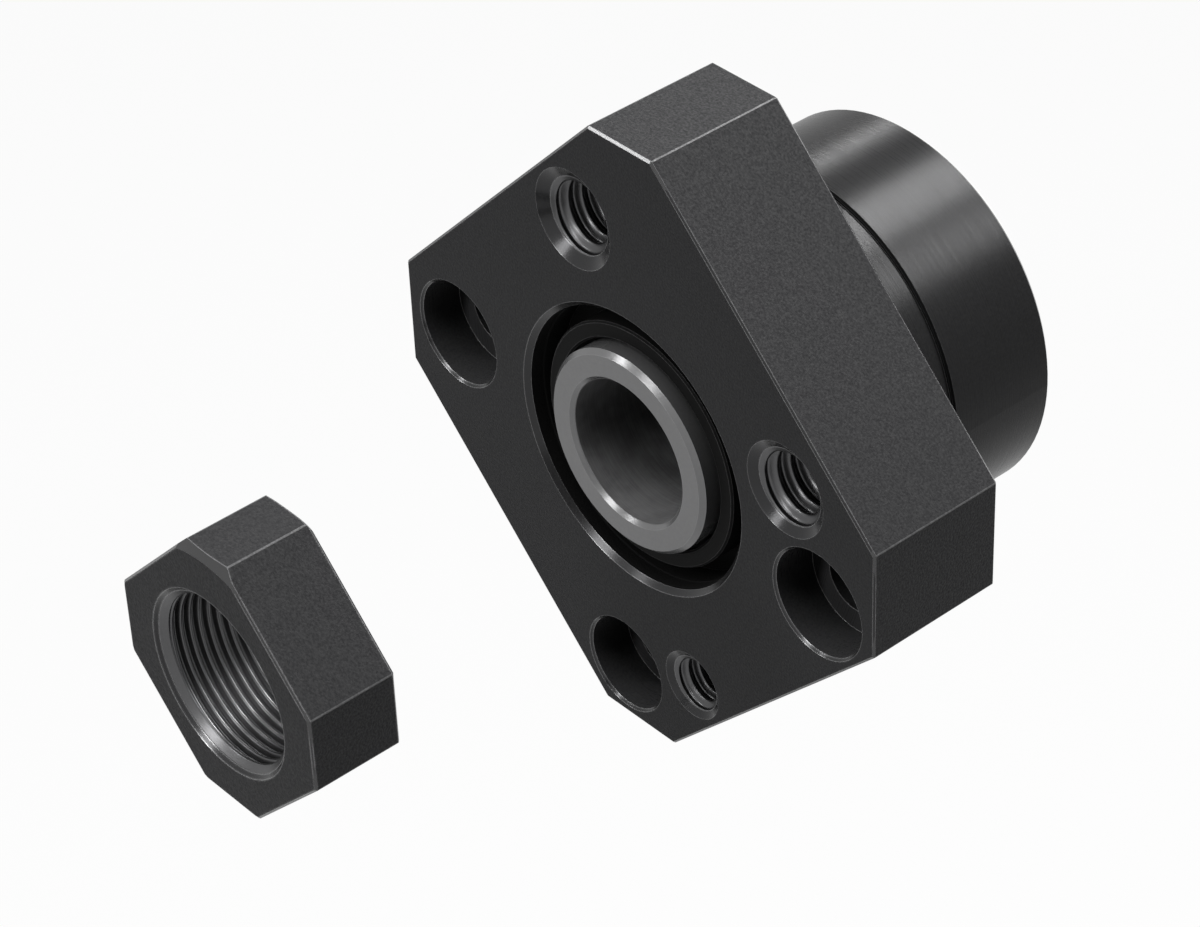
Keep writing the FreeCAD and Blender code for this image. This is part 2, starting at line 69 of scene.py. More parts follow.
# Grains and lathe lines, in features for each metre
BLACK_GRAIN = 4200.0
BARE_GRAIN = 3000.0
MOULDED_GRAIN = 2200.0
FLOOR_GRAIN = 300.0
BLACK_LINES = 7000.0
BARE_LINES = 9000.0

# Specular IOR Level under a black oxide, far below the shader's usual 0.5
BLACK_SPECULAR = 0.08

# Lamp, its place, its width and depth in metres, and the studio setting with its power
LAMPS_AIM = (0.0, -0.01, 0.0)
LAMPS = (
    ("Key lamp", (0.0, -0.16, 0.68), (0.35, 0.35), "key_power"),
    ("Front lamp", (-0.116, -0.50, 0.275), (0.13, 0.21), "front_power"),
    ("Left lamp", (-0.455, -0.399, 0.397), (0.09, 0.13), "left_power"),
    ("Back lamp", (0.0, 0.413, 0.567), (0.28, 0.10), "back_power"),
    ("Strip lamp", (-0.441, 0.413, 0.35), (0.09, 0.09), "strip_power"),
    ("Side lamp", (0.307, 0.413, 0.4725), (0.22, 0.22), "side_power"),
)


# Sizes and colours that a user would change

def colour(name, description, default):
    return FloatVectorProperty(
        name=name, description=description, default=default,
        size=4, min=0.0, max=1.0, subtype="COLOR")


def length(name, description, default):
    return FloatProperty(
        name=name, description=description, default=default, unit="LENGTH", precision=5)


def plain(name, description, default):
    return FloatProperty(name=name, description=description, default=default)


def factor(name, description, default):
    return FloatProperty(
        name=name, description=description, default=default, min=0.0, max=1.0, subtype="FACTOR")


def angle(name, description, default):
    return FloatProperty(
        name=name, description=description, default=math.radians(default), subtype="ANGLE")


def power(name, description, default):
    return FloatProperty(name=name, description=description, default=default, unit="POWER")


class SupportFinish(bpy.types.PropertyGroup):
    """Colours and gloss of the support's surfaces"""

    black_steel: colour(
        "Black steel", "Blackened steel of the housing and the nut",
        (0.031, 0.031, 0.032, 1))
    black_dark: colour(
        "Black steel, dark grain", "The darker grains of the blackened steel",
        (0.017, 0.017, 0.018, 1))
    bare_steel: colour("Bare steel", "Ground steel of the collars", (0.185, 0.185, 0.187, 1))
    honed_steel: colour(
        "Honed steel", "Walls of the bore through collars and rings",
        (0.185, 0.185, 0.187, 1))
    thread_steel: colour("Thread steel", "Threads under a thin black", (0.095, 0.095, 0.097, 1))
    bevel_steel: colour("Bevel steel", "Turned cones and bevels", (0.040, 0.040, 0.041, 1))
    rim_steel: colour(
        "Rim steel", "Outer bevels of the flange and the nut",
        (0.080, 0.080, 0.081, 1))
    # Worn edges, partly real wear and partly a painted edge highlight: lighter all round the sharp
    # edges
    worn_edge_and_sheen: colour(
        "Worn edges and sheen", "Sharp edges, where the black has worn through",
        (0.280, 0.280, 0.283, 1))
    # Lighter drilled walls, and a painted edge highlight on the edges of the seal rings
    drilled_and_edge_sheen: colour(
        "Drilled walls and edge sheen", "Drilled walls and rings' edges under a thin black",
        (0.170, 0.170, 0.172, 1))
    # Painted shade: near-black in the recess and on the seal rings; the turned pilot is also pulled
    # towards it
    shade_and_pilot_black: colour(
        "Shade and pilot black", "Rough black in the recess and on the seal rings",
        (0.007, 0.007, 0.007, 1))
    bearing_steel: colour("Bearing steel", "Rings and balls", (0.550, 0.550, 0.560, 1))
    cage_plastic: colour("Cage plastic", "Ball cages", (0.520, 0.440, 0.300, 1))
    seal_rubber: colour("Seal rubber", "Soft lips", (0.012, 0.012, 0.012, 1))
    plug_brass: colour("Plug brass", "Soft plug under the set screw", (0.560, 0.380, 0.130, 1))
    black_roughness: factor("Black roughness", "Roughness of the flat blackened faces", 0.53)
    turned_roughness: factor("Turned roughness", "Roughness of the turned pilot", 0.28)
    bare_roughness: factor("Bare roughness", "Roughness of the ground collars", 0.24)


class SupportThreads(bpy.types.PropertyGroup):
    """Pitch and depth of the threads"""

    large_pitch: length("Large pitch", "Pitch of the two large tapped holes", 1.7 * MILLIMETRE)
    small_pitch: length("Small pitch", "Pitch of the small tapped hole", 1.4 * MILLIMETRE)
    nut_pitch: length("Nut pitch", "Pitch of the lock nut's thread", 1.0 * MILLIMETRE)
    large_depth: factor("Hole depth", "Depth of the holes' threads as a share of their pitch", 0.45)
    nut_depth: factor("Nut depth", "Depth of the nut's thread as a share of its pitch", 0.6)
    segments: IntProperty(name="Segments", description="Steps round one turn", default=96, min=24)
    steps: IntProperty(name="Steps", description="Steps along one pitch", default=16, min=6)


class SupportStudio(bpy.types.PropertyGroup):
    """Camera, floor and lamps"""

    azimuth: angle("Azimuth", "Camera's direction, from the front to the right", 49.94)
    elevation: angle("Elevation", "Camera's height over the horizon", 37.17)
    roll: angle("Roll", "Camera's turn about its own line of sight", -2.56)
    aside: length("Aside", "Camera's place across its line to the origin", -14.38 * MILLIMETRE)
    above: length("Above", "Camera's place above its line to the origin", -7.72 * MILLIMETRE)
    distance: length("Distance", "Camera's distance from the origin's plane", 373.85 * MILLIMETRE)
    lens: plain("Lens", "Focal length in millimetres on a 36 mm sensor", 117.24)
    floor_drop: length("Floor", "How far the floor lies below the axis", 450 * MILLIMETRE)
    key_power: power("Key lamp", "Power of the lamp above", 2.4)
    front_power: power("Front lamp", "Power of the upright lamp in front", 1.05)
    left_power: power("Left lamp", "Power of the narrow lamp in front at the left", 0.75)
    back_power: power("Back lamp", "Power of the long lamp above and behind", 5.2)
    strip_power: power("Strip lamp", "Power of the small lamp behind at the left", 0.65)
    side_power: power("Side lamp", "Power of the lamp behind at the right", 3.1)
    ambient: factor("Ambient", "Level of the light from all round", 0.02)


def settings(context):
    scene = context.scene
    return scene.support_finish, scene.support_threads, scene.support_studio


# Node trees

def new_material(name):
    material = bpy.data.materials.new(name)
    material.use_nodes = True
    material.node_tree.nodes.clear()
    output = material.node_tree.nodes.new("ShaderNodeOutputMaterial")
    shader = material.node_tree.nodes.new("ShaderNodeBsdfPrincipled")
    material.node_tree.links.new(shader.outputs["BSDF"], output.inputs["Surface"])
    return material, shader


class Wires:
    """Short ways to add nodes to one tree and to join them"""

    def __init__(self, tree):
        self.tree = tree

    def feed(self, socket, value):
        if isinstance(value, bpy.types.NodeSocket):
            self.tree.links.new(value, socket)
        elif value is not None:
            socket.default_value = value

    def math(self, operation, *values, clamp=False):
        node = self.tree.nodes.new("ShaderNodeMath")
        node.operation = operation
        node.use_clamp = clamp
        for socket, value in zip(node.inputs, values):
            self.feed(socket, value)
        return node.outputs[0]

    def vector(self, operation, *values):
        node = self.tree.nodes.new("ShaderNodeVectorMath")
        node.operation = operation
        for socket, value in zip(node.inputs, values):
            self.feed(socket, value)
        return node.outputs["Value" if operation in ("DOT_PRODUCT", "LENGTH") else "Vector"]

    def split(self, vector):
        node = self.tree.nodes.new("ShaderNodeSeparateXYZ")
        self.feed(node.inputs[0], vector)
        return node.outputs["X"], node.outputs["Y"], node.outputs["Z"]

    def combine(self, across, along, up):
        node = self.tree.nodes.new("ShaderNodeCombineXYZ")
        for socket, value in zip(node.inputs, (across, along, up)):
            self.feed(socket, value)
        return node.outputs[0]

    def noise(self, vector, scale, detail=2.0, roughness=0.5):
        node = self.tree.nodes.new("ShaderNodeTexNoise")
        self.feed(node.inputs["Vector"], vector)
        self.feed(node.inputs["Scale"], scale)
        self.feed(node.inputs["Detail"], detail)
        self.feed(node.inputs["Roughness"], roughness)
        return node.outputs["Fac"]

    def ramp(self, value, low, high):
        """0 below low, 1 above high, smooth between"""
        node = self.tree.nodes.new("ShaderNodeMapRange")
        node.interpolation_type = "SMOOTHSTEP"
        for name, given in (("Value", value), ("From Min", low), ("From Max", high)):
            self.feed(node.inputs[name], given)
        return node.outputs["Result"]

    def blend(self, share, first, second):
        """Mixes two colours"""
        node = self.tree.nodes.new("ShaderNodeMix")
        node.data_type = "RGBA"
        self.feed(node.inputs["Factor"], share)
        colours = [socket for socket in node.inputs if socket.type == "RGBA"]
        self.feed(colours[0], first)
        self.feed(colours[1], second)
        return next(socket for socket in node.outputs if socket.type == "RGBA")

    def blend_value(self, share, first, second):
        """Mixes two numbers"""
        node = self.tree.nodes.new("ShaderNodeMix")
        node.data_type = "FLOAT"
        numbers = [socket for socket in node.inputs if socket.type == "VALUE"]
        for socket, value in zip(numbers, (share, first, second)):
            self.feed(socket, value)
        return next(socket for socket in node.outputs if socket.type == "VALUE")

    def bump(self, height, strength, distance, normal=None):
        node = self.tree.nodes.new("ShaderNodeBump")
        self.feed(node.inputs["Normal"], normal)
        self.feed(node.inputs["Height"], height)
        self.feed(node.inputs["Strength"], strength)
        self.feed(node.inputs["Distance"], distance)
        return node.outputs["Normal"]

    def place(self):
        return self.tree.nodes.new("ShaderNodeTexCoord").outputs["Object"]

    def from_axis(self):
        """The distance from the axis Y"""
        across, _, up = self.split(self.place())
        return self.vector("LENGTH", self.combine(across, 0.0, up))

    def between(self, value, low, high):
        """1 where the value lies between low and high"""
        above = self.math("GREATER_THAN", value, low)
        below = self.math("LESS_THAN", value, high)
        return self.math("MULTIPLY", above, below)

    def facing(self):
        return self.tree.nodes.new("ShaderNodeTexCoord").outputs["Normal"]

    def true_normal(self):
        return self.tree.nodes.new("ShaderNodeNewGeometry").outputs["Normal"]

    def use(self, group, **values):
        node = self.tree.nodes.new("ShaderNodeGroup")
        node.node_tree = group
        for name, value in values.items():
            self.feed(node.inputs[name.replace("_", " ").capitalize()], value)
        return node.outputs


def new_group(name, inputs, outputs):
    """A shader node group with named inputs and outputs, and its wires; all but Normal are numbers"""
    group = bpy.data.node_groups.new(name, "ShaderNodeTree")
    for label, default in inputs:
        socket = group.interface.new_socket(label, in_out="INPUT", socket_type="NodeSocketFloat")
        socket.default_value = default
    for label in outputs:
        kind = "NodeSocketVector" if label == "Normal" else "NodeSocketFloat"
        group.interface.new_socket(label, in_out="OUTPUT", socket_type=kind)
    source = group.nodes.new("NodeGroupInput").outputs
    target = group.nodes.new("NodeGroupOutput").inputs
    return group, Wires(group), source, target


def fine_grain():
    """Mottled grain of etched or blackened steel: patches and specks"""
    name = "Fine grain"
    if name in bpy.data.node_groups:
        return bpy.data.node_groups[name]
    group, wires, source, target = new_group(
        name, [("Scale", BLACK_GRAIN), ("Contrast", 1.0)], ["Tone", "Height"])
    place = wires.place()
    patches = wires.noise(place, wires.math("MULTIPLY", source["Scale"], 0.35), 3.0, 0.6)
    specks = wires.noise(place, source["Scale"], 2.0, 0.6)
    tone = wires.blend_value(0.85, patches, specks)
    spread = wires.math("MULTIPLY", wires.math("SUBTRACT", tone, 0.5), source["Contrast"])
    spread = wires.math("MULTIPLY", spread, 3.0)
    wires.feed(target["Tone"], wires.math("ADD", spread, 0.5, clamp=True))
    wires.feed(target["Height"], specks)
    return group


def turned_lines():
    """Fine lines that a lathe leaves round the axis Y, on faces and on walls"""
    name = "Turned lines"
    if name in bpy.data.node_groups:
        return bpy.data.node_groups[name]
    group, wires, source, target = new_group(name, [("Scale", BARE_LINES)], ["Tone", "Height"])
    across, along, up = wires.split(wires.place())
    turn = wires.math("ARCTAN2", up, across)
    drawn = wires.combine(
        wires.math("MULTIPLY", wires.from_axis(), source["Scale"]),
        wires.math("MULTIPLY", along, source["Scale"]),
        wires.math("MULTIPLY", turn, 1.6))
    lines = wires.noise(drawn, 1.0, 3.0, 0.65)
    wires.feed(target["Tone"], wires.ramp(lines, 0.25, 0.75))
    wires.feed(target["Height"], lines)
    return group


def edge_wear_and_sheen():
    """1 on a sharp edge, 0 beyond its reach, and the edge's normal as if it were rounded"""
    name = "Edge wear"
    if name in bpy.data.node_groups:
        return bpy.data.node_groups[name]
    group, wires, source, target = new_group(name, [("Reach", FLANGE_EDGE)], ["Mask", "Normal"])
    rounded = group.nodes.new("ShaderNodeBevel")
    rounded.samples = 6
    wires.feed(rounded.inputs["Radius"], source["Reach"])
    agreement = wires.vector("DOT_PRODUCT", rounded.outputs[0], wires.true_normal())
    wires.feed(target["Mask"], wires.ramp(agreement, 0.995, 0.94))
    wires.feed(target["Normal"], rounded.outputs[0])
    return group


def bevel_slope():
    """1 on cones and bevels, which face between the axis Y and square to it"""
    name = "Bevel slope"
    if name in bpy.data.node_groups:
        return bpy.data.node_groups[name]
    group, wires, source, target = new_group(name, [("Low", 0.12), ("High", 0.95)], ["Mask"])
    slope = wires.math("ABSOLUTE", wires.split(wires.facing())[1])
    wires.feed(target["Mask"], wires.between(slope, source["Low"], source["High"]))
    return group


def corner_rounds():
    """1 on the small rounds between the flat sides, beyond the reach from the axis Y"""
    name = "Corner rounds"
    if name in bpy.data.node_groups:
        return bpy.data.node_groups[name]
    group, wires, source, target = new_group(name, [("Reach", FLANGE_CORNERS)], ["Mask"])
    far = wires.math("GREATER_THAN", wires.from_axis(), source["Reach"])
    slope_across, slope_along, slope_up = wires.split(wires.facing())
    turn = wires.math("DIVIDE", wires.math("ARCTAN2", slope_up, slope_across), math.radians(45.0))
    off = wires.math("ABSOLUTE", wires.math("SUBTRACT", turn, wires.math("ROUND", turn)))
    between = wires.math("GREATER_THAN", off, 0.06)
    upright = wires.math("LESS_THAN", wires.math("ABSOLUTE", slope_along), 0.1)
    slanted = wires.math("MULTIPLY", far, between)
    wires.feed(target["Mask"], wires.math("MULTIPLY", slanted, upright))
    return group


# Finishes

def black_steel(name, finish, corners, reach, holes=(), turned=False):
    """Blackened steel with fine grain: smoother on bevels and in holes, worn and lighter on sharp
    edges, partly as a painted edge highlight, and lined on the pilot and, as painted shade,
    near-black and dull in the recess of a turned part"""
    material, shader = new_material(name)
    wires = Wires(material.node_tree)
    ground = wires.ramp(wires.math("ABSOLUTE", wires.split(wires.facing())[1]), 0.9, 0.99)
    contrast = wires.blend_value(ground, 1.0, 0.5)
    grain = wires.use(fine_grain(), scale=BLACK_GRAIN, contrast=contrast)
    lines = wires.use(turned_lines(), scale=BLACK_LINES)
    edge = wires.use(edge_wear_and_sheen(), reach=reach)
    bevel = wires.use(bevel_slope())["Mask"]
    across, along, up = wires.split(wires.place())
    base = wires.blend(grain["Tone"], tuple(finish.black_dark), tuple(finish.black_steel))
    base = wires.blend(bevel, base, tuple(finish.bevel_steel))
    rounds = wires.use(corner_rounds(), reach=corners)["Mask"]
    # Painted edge highlight and wear: sharp edges and corner rounds lighter all round
    edges = wires.math("MAXIMUM", edge["Mask"], wires.math("MULTIPLY", rounds, 0.35))
    worn = wires.math("MULTIPLY", edges, wires.blend_value(grain["Tone"], 0.6, 1.0))
    base = wires.blend(worn, base, tuple(finish.worn_edge_and_sheen))
    radius = wires.from_axis()
    rim = wires.math("MULTIPLY", bevel, wires.math("GREATER_THAN", radius, corners))
    base = wires.blend(rim, base, tuple(finish.rim_steel))
    bare = wires.math("MULTIPLY", worn, 0.15)
    bare = wires.math("MAXIMUM", bare, wires.math("MULTIPLY", bevel, 0.70))
    smooth = wires.math("MAXIMUM", bevel, wires.math("MAXIMUM", worn, rounds))
    for mount in holes:
        drilled = within_hole(wires, mount, across, along, up)
        smooth = wires.math("MAXIMUM", smooth, drilled)
        base = wires.blend(wires.math("MULTIPLY", drilled, 0.13), base, tuple(finish.drilled_and_edge_sheen))
    if turned:
        # The turned pilot: 60 per cent of the way to the near-black, smoother, a little metallic
        pilot = wires.math("GREATER_THAN", along, PILOT_START)
        smooth = wires.math("MAXIMUM", smooth, pilot)
        base = wires.blend(wires.math("MULTIPLY", pilot, 0.6), base, tuple(finish.shade_and_pilot_black))
        bare = wires.math("MAXIMUM", bare, wires.math("MULTIPLY", pilot, 0.18))
    black, lathe = finish.black_roughness, finish.turned_roughness
    rough = wires.blend_value(
        smooth,
        wires.blend_value(grain["Tone"], black + 0.12, black - 0.10),
        wires.blend_value(lines["Tone"], lathe + 0.05, lathe - 0.03))
    rough = wires.blend_value(bevel, rough, wires.blend_value(grain["Tone"], 0.23, 0.19))
    grooves = lines["Height"]
    height = wires.blend_value(smooth, grain["Height"], wires.math("MULTIPLY", grooves, 0.2))
    height = wires.blend_value(bevel, height, wires.math("MULTIPLY", grooves, 0.008))
    if turned:
        # Painted shade in the recess: near-black, matt and without metal
        near = wires.math("LESS_THAN", radius, RECESS_RADIUS)
        sunk = wires.math("MULTIPLY", near, wires.between(along, *RECESS_WALLS))
        base = wires.blend(sunk, base, tuple(finish.shade_and_pilot_black))
        bare = wires.math("MULTIPLY", bare, wires.math("SUBTRACT", 1.0, sunk))
        rough = wires.blend_value(sunk, rough, 0.8)
    wires.feed(shader.inputs["Base Color"], base)
    wires.feed(shader.inputs["Metallic"], bare)
    wires.feed(shader.inputs["Roughness"], rough)
    normal = wires.blend(bevel, edge["Normal"], wires.true_normal())
    wires.feed(shader.inputs["Normal"], wires.bump(height, 0.7, 0.00005, normal))
    shader.inputs["Specular IOR Level"].default_value = BLACK_SPECULAR
    return material


def within_hole(wires, mount, across, along, up):
    """1 on the walls of the mount's hole and of its counterbore"""
    centre = mount["pos_m"]
    aside = wires.math("SUBTRACT", across, centre[0])
    over = wires.math("SUBTRACT", up, centre[2])
    reach = wires.vector("LENGTH", wires.combine(aside, 0.0, over))
    beyond_counterbore = mount["dims"]["r_mm"] * MILLIMETRE * 1.75
    near = wires.math("LESS_THAN", reach, beyond_counterbore)
    return wires.math("MULTIPLY", near, wires.between(along, *HOLE_WALLS))


def shaded(tone, share):
    """The colour, darker or lighter by that share"""
    return tuple(min(channel * share, 0.9) for channel in tone[:3]) + (1.0,)


def turned_steel(name, tone, roughness, dark=0.9, metallic=1.0, honed=None, edged=None):
    """Bare or thinly blackened steel, turned or ground; honed is the colour inside the bore, and
    edged, or else a lighter copy of the tone, is the colour of the sharp edges: wear and a painted
    edge highlight
    """
    material, shader = new_material(name)
    wires = Wires(material.node_tree)
    lines = wires.use(turned_lines(), scale=BARE_LINES)
    grain = wires.use(fine_grain(), scale=BARE_GRAIN, contrast=0.7)
    edge = wires.use(edge_wear_and_sheen(), reach=RING_EDGE)
    mottle = wires.blend_value(0.75, lines["Tone"], grain["Tone"])
    deep = shaded(tone, dark)
    light = edged or shaded(tone, 1.6)
    base = wires.blend(mottle, deep, tuple(tone))
    # Sharp edges lighter: wear and a painted edge highlight
    base = wires.blend(wires.math("MULTIPLY", edge["Mask"], 0.6), base, light)
    rough = wires.blend_value(lines["Tone"], roughness + 0.03, roughness - 0.02)
    shader.inputs["Metallic"].default_value = metallic
    if honed:
        inside = wires.math("LESS_THAN", wires.from_axis(), BORE_RADIUS)
        cloud = wires.noise(wires.place(), 260.0, 3.0, 0.6)
        streaks = wires.blend_value(0.5, wires.ramp(cloud, 0.35, 0.65), lines["Tone"])
        base = wires.blend(inside, base, wires.blend(streaks, shaded(honed, 0.55), tuple(honed)))
        rough = wires.blend_value(inside, rough, 0.5)
        wires.feed(shader.inputs["Metallic"], wires.blend_value(inside, metallic, 0.0))
    wires.feed(shader.inputs["Base Color"], base)
    wires.feed(shader.inputs["Roughness"], rough)
    shader.inputs["Specular IOR Level"].default_value = BLACK_SPECULAR
    wires.feed(shader.inputs["Normal"], wires.bump(lines["Height"], 0.05, 0.00003))
    return material


def plain_grained(name, tone, roughness, metallic=0.0):
    """Moulded or plain pieces: a colour with fine grain and a matt or glossy skin"""
    material, shader = new_material(name)
    wires = Wires(material.node_tree)
    grain = wires.use(fine_grain(), scale=MOULDED_GRAIN, contrast=0.8)
    base = wires.blend(grain["Tone"], shaded(tone, 0.78), tuple(tone))
    rough = wires.blend_value(grain["Tone"], roughness + 0.06, roughness - 0.04)
    wires.feed(shader.inputs["Base Color"], base)
    shader.inputs["Metallic"].default_value = metallic
    wires.feed(shader.inputs["Roughness"], rough)
    wires.feed(shader.inputs["Normal"], wires.bump(grain["Height"], 0.15, 0.00003))
    return material


def dress(node, material):
    """The CAD node takes the material in all of its slots"""
    mesh = frame["nodes"][node].data
    mesh.materials.clear()
    mesh.materials.append(material)


# Threads: a sleeve whose inner side is the thread and whose outer side is hidden in the wall

def smooth_step(value):
    value = min(max(value, 0.0), 1.0)
    return value * value * (3.0 - 2.0 * value)


def thread_height(phase):
    """0 at the root and 1 on the crest, along one pitch"""
    flank = 0.36
    crest = 0.5 - flank
    distance = abs(phase - math.floor(phase) - 0.5)
    return 1.0 - smooth_step((distance - crest / 2) / flank)


def add_thread(name, mount, pitch, depth, mouth_slope, both_mouths, threads):
    """A sleeve in the mount's wall; the mouth's cone cuts the first turns, or clears both mouths"""
    wall = mount["dims"]["r_mm"] * MILLIMETRE
    span = mount["dims"]["length_mm"] * MILLIMETRE
    axis = Vector(mount["axis"])
    mouth = Vector(mount["pos_m"]) + axis * span / 2
    hidden = wall + 0.00012
    root = wall - 0.00003
    crest = root - depth
    lead = depth / mouth_slope if both_mouths else -pitch
    rows = max(8, round(span / pitch * threads.steps))
    verts = []
    for row in range(rows + 1):
        travel = span * row / rows
        inward = min(travel, span - travel) if both_mouths else travel
        cone = root - inward * mouth_slope
        grown = smooth_step((inward - lead) / (0.4 * pitch))
        for step in range(threads.segments):
            turn = 2 * math.pi * step / threads.segments
            phase = travel / pitch + step / threads.segments
            groove = depth * (1.0 - thread_height(phase))
            radius = max(crest + groove * grown, cone)
            verts.append(place_round(mouth, axis, travel, radius, turn))
    for row in (rows, 0):
        for step in range(threads.segments):
            turn = 2 * math.pi * step / threads.segments
            verts.append(place_round(mouth, axis, span * row / rows, hidden, turn))
    faces = []
    count = threads.segments
    inner = rows * count
    loops = rows + 3
    for row in range(loops):
        first = row * count
        second = ((row + 1) % loops) * count
        for step in range(count):
            following = (step + 1) % count
            faces.append((first + step, first + following, second + following, second + step))
    mesh = bpy.data.meshes.new(name)
    mesh.from_pydata([tuple(v) for v in verts], [], faces)
    mesh.validate()
    for index, face in enumerate(mesh.polygons):
        face.use_smooth = index < inner
    piece = bpy.data.objects.new(name, mesh)
    bpy.context.scene.collection.objects.link(piece)
    return piece


def place_round(mouth, axis, travel, radius, turn):
    """A point round the axis, that far in from the mouth"""
    side = Vector((1.0, 0.0, 0.0))
    up = axis.cross(side)
    return mouth - axis * travel + (side * math.cos(turn) + up * math.sin(turn)) * radius


# Operators: one for each piece or group of like pieces, and one for the stage

class SUPPORT_OT_housing(bpy.types.Operator):
    """Blackened steel for the housing, smoother where the pilot is turned"""

    bl_idname = "support.housing"
    bl_label = "Housing"

    def execute(self, context):
        finish = settings(context)[0]
        holes = [MOUNTS[name] for name in SCREW_HOLES]
        black = black_steel(
            "Housing black steel", finish, FLANGE_CORNERS, FLANGE_EDGE, holes, turned=True)
        dress("housing", black)
        return {"FINISHED"}


class SUPPORT_OT_seals(bpy.types.Operator):
    """Turned black rings, near-black as painted shade, and soft lips of both seals"""

    bl_idname = "support.seals"
    bl_label = "Seals and lid"

    def execute(self, context):
        finish = settings(context)[0]
        # Painted shade: the seal rings near-black, their edges lighter as a painted edge highlight
        ring = turned_steel(
            "Turned black steel", tuple(finish.shade_and_pilot_black), 0.7, dark=0.6, metallic=0.0,
            edged=tuple(finish.drilled_and_edge_sheen))
        for node in ("front_seal_ring", "rear_lid"):
            dress(node, ring)
        rubber = plain_grained("Seal rubber", tuple(finish.seal_rubber), 0.62)
        for node in ("front_seal_lip", "rear_seal_lip"):
            dress(node, rubber)
        return {"FINISHED"}


class SUPPORT_OT_collars(bpy.types.Operator):
    """Ground bare steel for the collars and spacers"""

    bl_idname = "support.collars"
    bl_label = "Collars and spacers"

    def execute(self, context):
        finish = settings(context)[0]
        bare = turned_steel(
            "Ground bare steel", tuple(finish.bare_steel), finish.bare_roughness, dark=0.88,
            metallic=0.6, honed=finish.honed_steel)
        for node in ("front_collar", "rear_collar", "inner_spacer", "outer_spacer"):
            dress(node, bare)
        return {"FINISHED"}


class SUPPORT_OT_bearings(bpy.types.Operator):
    """Honed rings, polished balls and moulded cages of both bearings"""

    bl_idname = "support.bearings"
    bl_label = "Bearings"

    def execute(self, context):
        finish = settings(context)[0]
        rings = turned_steel(
            "Bearing steel", tuple(finish.bearing_steel), 0.22, honed=finish.honed_steel)
        balls = plain_grained("Ball steel", tuple(finish.bearing_steel), 0.12, 1.0)
        cages = plain_grained("Cage plastic", tuple(finish.cage_plastic), 0.5)
        for side in ("front", "rear"):
            dress(f"{side}_bearing_inner_ring", rings)
            dress(f"{side}_bearing_outer_ring", rings)
            dress(f"{side}_bearing_balls", balls)
            dress(f"{side}_bearing_cage", cages)
        return {"FINISHED"}


class SUPPORT_OT_lock_nut(bpy.types.Operator):
    """Blackened lock nut with its set screw and soft plug"""

    bl_idname = "support.lock_nut"
    bl_label = "Lock nut"

    def execute(self, context):
        finish = settings(context)[0]
        black = black_steel("Nut black steel", finish, NUT_CORNERS, NUT_EDGE)
        screw = plain_grained("Screw black steel", tuple(finish.black_steel), 0.4, 0.8)
        plug = plain_grained("Plug brass", tuple(finish.plug_brass), 0.35, 1.0)
        dress("lock_nut", black)
        dress("lock_nut_set_screw", screw)
        dress("lock_nut_soft_plug", plug)
        return {"FINISHED"}


class SUPPORT_OT_threads(bpy.types.Operator):
    """Threads of the tapped holes and of the lock nut"""

    bl_idname = "support.threads"
    bl_label = "Threads"

    def execute(self, context):
        finish, threads, _ = settings(context)
        metal = turned_steel("Cut thread", tuple(finish.thread_steel), 0.33)
        sunk_cone = math.tan(math.radians(55.0))
        nut_chamfer = 1.0
        hole = ("housing", "black_steel", sunk_cone, False)
        nut = ("lock_nut", "black_steel_nut", nut_chamfer, True)
        deep = threads.large_depth
        for name, mount, pitch, share, (body, slot, slope, both) in (
            ("thread_upper", "upper_tapped_hole", threads.large_pitch, deep, hole),
            ("thread_right", "right_tapped_hole", threads.large_pitch, deep, hole),
            ("thread_lower", "lower_tapped_hole", threads.small_pitch, deep, hole),
            ("thread_nut", "nut_thread", threads.nut_pitch, threads.nut_depth, nut),
        ):
            depth = pitch * share
            piece = add_thread(name, MOUNTS[mount], pitch, depth, slope, both, threads)
            piece.data.materials.append(metal)
            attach(piece, body)
        return {"FINISHED"}


class SUPPORT_OT_stage(bpy.types.Operator):
    """Camera, white floor and background, soft lamps"""

    bl_idname = "support.stage"
    bl_label = "Stage"

    def execute(self, context):
        studio = settings(context)[2]
        context.scene.view_settings.view_transform = "Standard"
        set_camera(context, studio)
        set_world(context, studio)
        set_floor(studio)
        set_lamps(studio)
        return {"FINISHED"}


def camera_axes(studio):
    """The camera's right, up and back in the object's frame"""
    turn, lift, roll = studio.azimuth, studio.elevation, studio.roll
    level = math.cos(lift)
    back = Vector((math.sin(turn) * level, -math.cos(turn) * level, math.sin(lift)))
    right = Vector((math.cos(turn), math.sin(turn), 0.0))
    up = back.cross(right)
    tilted_right = right * math.cos(roll) + up * math.sin(roll)
    tilted_up = up * math.cos(roll) - right * math.sin(roll)
    return tilted_right, tilted_up, back


def set_camera(context, studio):
    data = bpy.data.cameras.new("Camera")
    data.sensor_width = 36.0
    data.sensor_fit = "HORIZONTAL"
    data.lens = studio.lens
    data.clip_start = 0.01
    camera = bpy.data.objects.new("Camera", data)
    context.scene.collection.objects.link(camera)
    right, up, back = camera_axes(studio)
    turn = Matrix((right, up, back)).transposed().to_4x4()
    place = right * studio.aside + up * studio.above + back * studio.distance
    camera.matrix_world = Matrix.Translation(place) @ turn
    context.scene.camera = camera


def seen_directly(wires):
    """1 for rays from the camera and for mirrored or refracted ones"""
    path = wires.tree.nodes.new("ShaderNodeLightPath").outputs
    shiny = wires.math("MAXIMUM", path["Is Glossy Ray"], path["Is Transmission Ray"])
    return wires.math("MAXIMUM", path["Is Camera Ray"], shiny)


